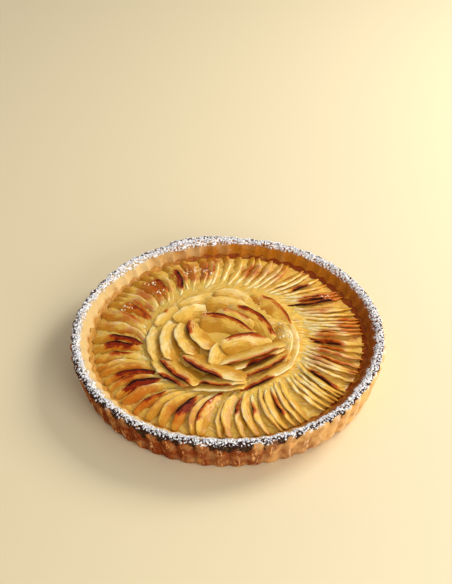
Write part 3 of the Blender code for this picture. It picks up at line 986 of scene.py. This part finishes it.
# Two ends of the round edge and how far it bows outwards in rim radii, width and height in
# metres, lean in degrees, tone, blush, and burnt stretches: first and last share, and strength
ROSE_SLICES = (
    ((0.390, -0.300), (0.425, 0.080), 0.040, 0.0170, 0.0302, 14, 0.6, 0.0, ()),
    ((0.417, 0.085), (0.205, 0.405), 0.045, 0.0175, 0.0307, 14, 0.0, 0.4, ((0.0, 1.0, 0.7),)),
    ((0.170, 0.335), (-0.075, 0.435), 0.045, 0.0185, 0.0312, 14, 0.3, 0.1, ()),
    ((-0.050, 0.445), (-0.320, 0.310), 0.020, 0.0150, 0.0298, 14, 0.5, 0.0, ()),
    ((-0.270, 0.325), (-0.475, 0.130), 0.035, 0.0148, 0.0298, 14, 0.7, 0.0, ((0.5, 0.6, 0.8),)),
    ((-0.465, 0.150), (-0.480, -0.220), 0.045, 0.0155, 0.0298, 14, 0.7, 0.0, ()),
    ((-0.485, -0.215), (-0.285, -0.475), 0.045, 0.0140, 0.0309, 14, 0.6, 0.0, ((0.5, 1.0, 1.0),)),
    ((-0.255, -0.495), (0.080, -0.510), 0.022, 0.0215, 0.0312, 14, 0.3, 0.1, ()),
    ((0.060, -0.505), (0.400, -0.285), 0.035, 0.0165, 0.0300, 14, 0.7, 0.0, ((0.0, 0.55, 1.0),)),
    ((0.365, -0.240), (0.380, 0.070), 0.035, 0.0140, 0.0325, 16, 0.7, 0.0, ()),
    ((0.305, -0.030), (0.045, 0.275), 0.055, 0.0155, 0.0338, 17, 0.4, 0.1, ((0.1, 0.9, 1.0),)),
    ((0.140, 0.280), (-0.120, 0.345), 0.030, 0.0215, 0.0328, 16, 0.3, 0.1, ((0.8, 1.0, 0.5),)),
    ((-0.140, 0.300), (-0.355, 0.175), 0.030, 0.0160, 0.0322, 16, 0.8, 0.0, ()),
    ((-0.380, 0.150), (-0.410, -0.210), 0.035, 0.0215, 0.0324, 16, 0.7, 0.0, ()),
    ((-0.425, -0.240), (-0.230, -0.480), 0.025, 0.0190, 0.0328, 16, 0.5, 0.1, ((0.05, 0.95, 1.0),)),
    ((-0.195, -0.440), (0.090, -0.480), 0.035, 0.0130, 0.0338, 16, 0.5, 0.0, ((0.1, 0.7, 0.75),)),
    ((0.065, -0.410), (0.385, -0.220), 0.035, 0.0225, 0.0332, 16, 0.4, 0.1, ((0.1, 1.0, 0.8),)),
    ((-0.318, 0.115), (-0.270, -0.190), 0.045, 0.0225, 0.0338, 18, 0.6, 0.0, ()),
    ((-0.280, -0.240), (0.060, -0.470), 0.050, 0.0160, 0.0356, 14, 0.8, 0.0, ((0.0, 0.7, 1.1),)),
    ((0.010, -0.350), (0.345, -0.195), 0.030, 0.0170, 0.0348, 18, 0.6, 0.0, ((0.35, 0.75, 1.2),)),
    ((0.165, 0.100), (-0.060, 0.205), 0.025, 0.0130, 0.0352, 18, 0.4, 0.2, ((0.2, 0.9, 0.6),)),
    ((-0.250, 0.140), (-0.150, -0.160), 0.050, 0.0210, 0.0345, 20, 0.6, 0.2, ((0.0, 0.5, 0.9),)),
    ((-0.040, -0.310), (0.345, -0.165), 0.025, 0.0125, 0.0361, 18, 0.8, 0.0, ((0.1, 1.0, 0.5),)),
    ((-0.075, -0.100), (-0.125, -0.290), 0.010, 0.0130, 0.0340, 16, 0.6, 0.0, ()),
    ((0.150, 0.030), (-0.150, 0.165), 0.035, 0.0190, 0.0360, 22, 0.3, 0.2, ((0.0, 1.0, 1.0),)),
    ((0.265, -0.080), (-0.035, -0.105), 0.050, 0.0185, 0.0372, 20, 1.1, 0.0, ((0.1, 0.9, 0.8),)),
)


def rose_slice(start, end, bow, width, height, lean):
    """The round edge of one slice of the rose, an arc raised in the middle, and its section."""
    first = Vector((*start, 0)) * RIM_RADIUS
    last = Vector((*end, 0)) * RIM_RADIUS
    along = (last - first).normalized()
    outward = Vector((along.y, -along.x, 0))
    slope = math.radians(lean)

    def rim(share):
        sunk = ROSE_SINK * (2 * share - 1) ** 4
        share += ROSE_REACH * (2 * share - 1)
        bulge = 4 * share * (1 - share)
        drop = bow * RIM_RADIUS * math.sin(slope) * (1 - bulge) + sunk
        climb = ROSE_TILT * (share - 0.5)
        return (first.lerp(last, share) + outward * bow * RIM_RADIUS * bulge
                + Vector((0, 0, height - drop + climb)))

    def inward(share):
        turn = 4 * bow * RIM_RADIUS * (1 - 2 * share) / (last - first).length
        return -(outward - along * turn * ROSE_TURN).normalized()

    return rim, inward, lambda share: ROSE_TUCK * width * half_moon(share, ROSE_TIP), slope


def apple_rose():
    fruit = apple_material("rose_apple", ROSE_SHOWN)
    for number, (*shape, tone, blush, stretches) in enumerate(ROSE_SLICES, start=1):
        rim, inward, breadth, lean = rose_slice(*shape)
        rows, share, values = slice_rows(rim, inward, breadth, lean, ROSE_SLICE_THICKNESS,
                                         ROSE_STATIONS, ROSE_NUMBERS_FROM + number)
        values |= {"burn": burnt_share(share, stretches), "tone": tone, "blush": blush}
        name = f"rose_petal_{number:02d}"
        mesh = join_slices(name, [(rows, values)])
        yield place_piece(name, mesh, fruit, "rose_apple", f"rose_slice_{number:02d}")


rose = list(apple_rose())

# Glaze. Syrup brushed over the hot tart. Where it was thick it boiled up beside the burnt slices
# and set there as clusters of clear and amber beads, the clear ones painted near white as glints.
GLAZE_SEED = 8
GLAZE_RADII = (0.00035, 0.00170)
GLAZE_SINK = 0.45
GLAZE_UNEVENNESS = 0.30
GLAZE_PATCHES = 0.006
CLEAR_GLAZE_AND_GLINT = srgb(255, 244, 216)
AMBER_GLAZE = srgb(236, 166, 66)
# Middle of each cluster and its reach in rim radii, and the number of beads
GLAZE_CLUSTERS = (
    ((-0.52, 0.54), 0.05, 14),
    ((-0.46, 0.44), 0.05, 10),
    ((-0.65, 0.29), 0.06, 12),
    ((-0.28, 0.67), 0.05, 16),
    ((-0.18, 0.69), 0.05, 16),
    ((-0.13, 0.62), 0.04, 8),
    ((0.34, 0.10), 0.05, 10),
    ((0.37, -0.03), 0.05, 12),
    ((0.20, 0.33), 0.04, 6),
    ((0.55, -0.12), 0.04, 6),
    ((0.64, 0.37), 0.05, 8),
    ((-0.15, 0.18), 0.03, 6),
    ((-0.08, -0.62), 0.06, 8),
    ((0.20, 0.60), 0.05, 6),
)


def glaze_beads():
    draw = random.Random(GLAZE_SEED)
    surface = surface_of(fan, *rose)
    spots = []
    for (x, y), reach, count in GLAZE_CLUSTERS:
        for _ in range(count):
            place = [RIM_RADIUS * (middle + draw.gauss(0, reach / 2)) for middle in (x, y)]
            size = draw.triangular(*GLAZE_RADII, GLAZE_RADII[0])
            spots.append((spot_below(surface, *place) - Vector((0, 0, GLAZE_SINK * size)), size))
    material, syrup = new_material("set_syrup")
    # The clear beads' near-white colour is partly a painted glint
    amber = syrup.grain(GLAZE_PATCHES, 2).step(0.40, 0.62)
    syrup.surface({
        "Base Color": amber.mix(CLEAR_GLAZE_AND_GLINT, AMBER_GLAZE),
        "Roughness": 0.1,
        "Transmission Weight": 0.12,
        "IOR": 1.42,
    })
    mesh = balls("glaze_beads", spots, 2, GLAZE_UNEVENNESS, draw)
    mesh.shade_smooth()
    place_piece("glaze_beads", mesh, material, "fan_apple")


glaze_beads()

# Surroundings. A plain pale floor under the tart, one broad light from the right and behind, as
# from a window, one from the front right, a weak fill from the left, and the camera.
FLOOR_SIZE = 6.0
FLOOR_PAINT = srgb(228, 214, 180)
STUDIO_COLOUR = (1.0, 0.95, 0.87, 1.0)
STUDIO_STRENGTH = 0.42
LIT_SPOT = (0, 0, 0.02)
# The camera, fitted to the round rim and foot as the photograph shows them
CAMERA_DISTANCE = 1.08
CAMERA_PITCH = math.radians(41.55)
CAMERA_ROLL = math.radians(-0.44)
FOCAL_PIXELS = 1253.1
LONG_SIDE_PIXELS = 584
SENSOR_WIDTH = 36.0
SHIFT_PIXELS = (-2.02, 39.0)
# Name, place and width in metres, power in watts, and colour
LIGHTS = (
    ("window", (0.80, 0.50, 0.70), 0.50, 11.5, (1.0, 0.95, 0.86)),
    ("front", (0.60, -0.90, 0.50), 0.60, 8.0, (1.0, 0.95, 0.88)),
    ("fill", (-0.9, -0.6, 0.9), 1.0, 1.5, (1.0, 0.97, 0.92)),
)


def floor():
    mesh = bpy.data.meshes.new("floor")
    half = FLOOR_SIZE / 2
    mesh.from_pydata([(-half, -half, 0), (half, -half, 0), (half, half, 0), (-half, half, 0)], [],
                     [(0, 1, 2, 3)])
    material, paint = new_material("pale_floor")
    paint.surface({"Base Color": FLOOR_PAINT, "Roughness": 0.7})
    mesh.materials.append(material)
    piece = bpy.data.objects.new("floor", mesh)
    bpy.context.scene.collection.objects.link(piece)


def aim(thing, target, roll=0.0):
    """Turns a light or camera to look at a point."""
    away = thing.location - Vector(target)
    turn = away.to_track_quat("Z", "Y").to_matrix() @ Matrix.Rotation(roll, 3, "Z")
    thing.rotation_euler = turn.to_euler()


def lights():
    for name, place, size, power, colour in LIGHTS:
        lamp = bpy.data.lights.new(name, "AREA")
        lamp.size = size
        lamp.energy = power
        lamp.color = colour
        piece = bpy.data.objects.new(name, lamp)
        piece.location = place
        bpy.context.scene.collection.objects.link(piece)
        aim(piece, LIT_SPOT)
    world = bpy.data.worlds.new("studio")
    world.use_nodes = True
    sky = world.node_tree.nodes["Background"].inputs
    sky["Color"].default_value = STUDIO_COLOUR
    sky["Strength"].default_value = STUDIO_STRENGTH
    bpy.context.scene.world = world


def camera():
    lens = bpy.data.cameras.new("camera")
    lens.sensor_width = SENSOR_WIDTH
    lens.lens = FOCAL_PIXELS / LONG_SIDE_PIXELS * SENSOR_WIDTH
    lens.shift_x = SHIFT_PIXELS[0] / LONG_SIDE_PIXELS
    lens.shift_y = SHIFT_PIXELS[1] / LONG_SIDE_PIXELS
    piece = bpy.data.objects.new("camera", lens)
    bpy.context.scene.collection.objects.link(piece)
    rim_middle = Vector((0, 0, SHELL_HEIGHT))
    away = Vector((0, -math.cos(CAMERA_PITCH), math.sin(CAMERA_PITCH)))
    piece.location = rim_middle + away * CAMERA_DISTANCE
    aim(piece, rim_middle, CAMERA_ROLL)
    bpy.context.scene.camera = piece


floor()
lights()
camera()
bpy.context.scene.view_settings.view_transform = "Standard"
